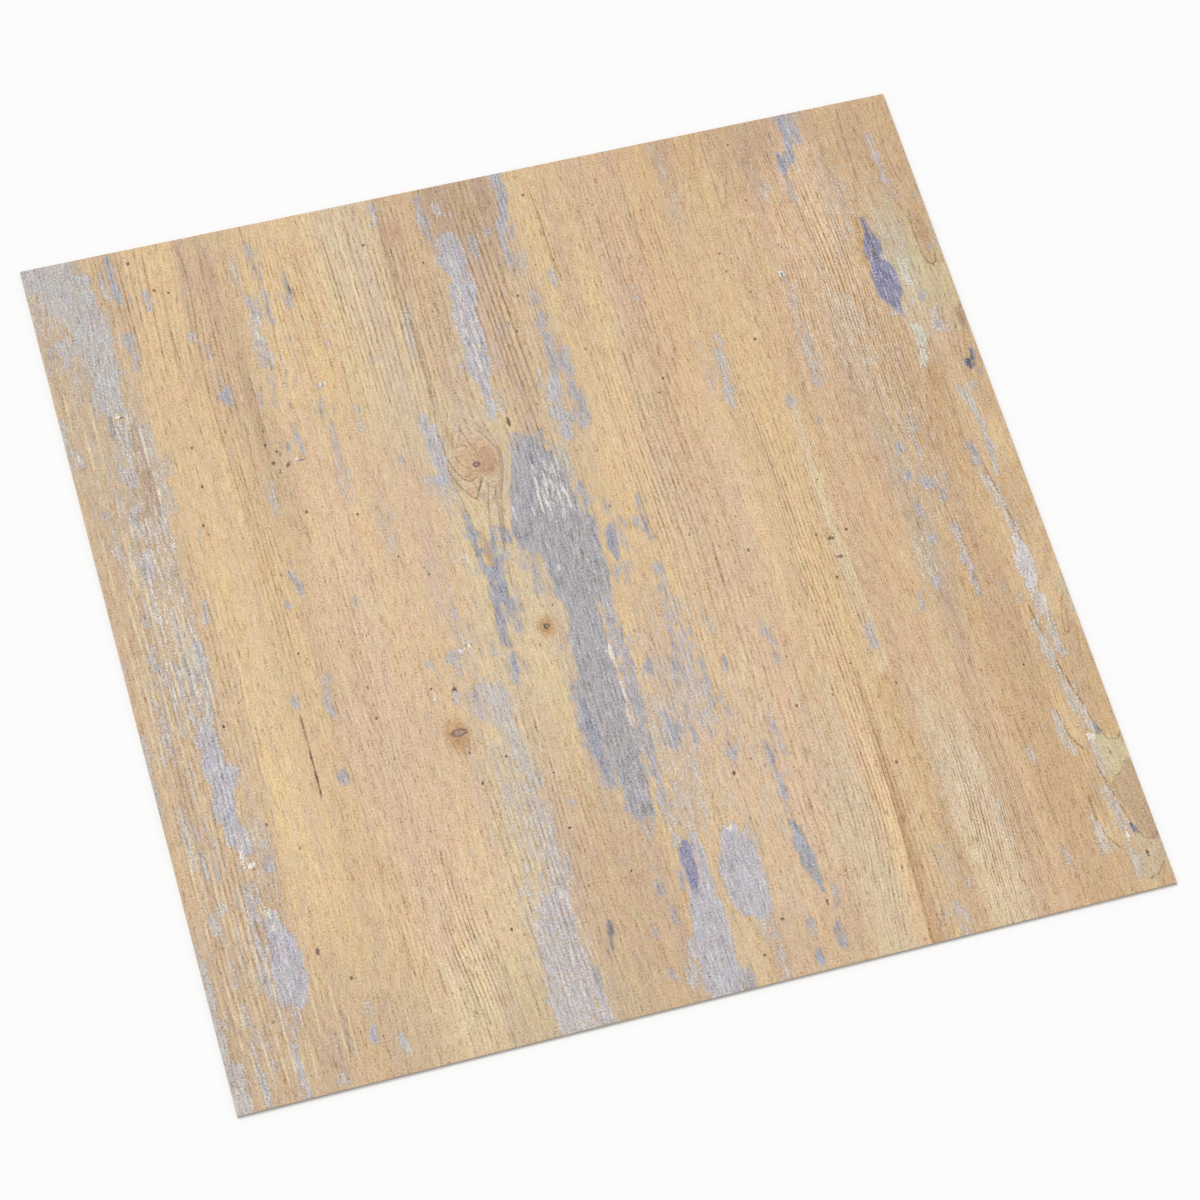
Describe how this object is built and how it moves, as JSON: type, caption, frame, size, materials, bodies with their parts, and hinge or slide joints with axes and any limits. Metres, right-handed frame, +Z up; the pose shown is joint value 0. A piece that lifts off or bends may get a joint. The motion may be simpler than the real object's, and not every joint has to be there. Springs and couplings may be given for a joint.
{
  "type": "square vinyl floor plank",
  "caption": "Thin square sheet of printed vinyl flooring with plain butt edges, stuck down flat to cover a floor.",
  "frame": {"origin": "centre of the underside, which is the face that is stuck down", "axes": "+Z up out of the printed face, +Y along the printed grain, +X across the grain"},
  "size_m": [0.305, 0.305, 0.0012],
  "materials": {
    "printed_vinyl": "satin"
  },
  "bodies": {
    "root": {"vinyl_plank": "printed_vinyl"}
  },
  "joints": []
}
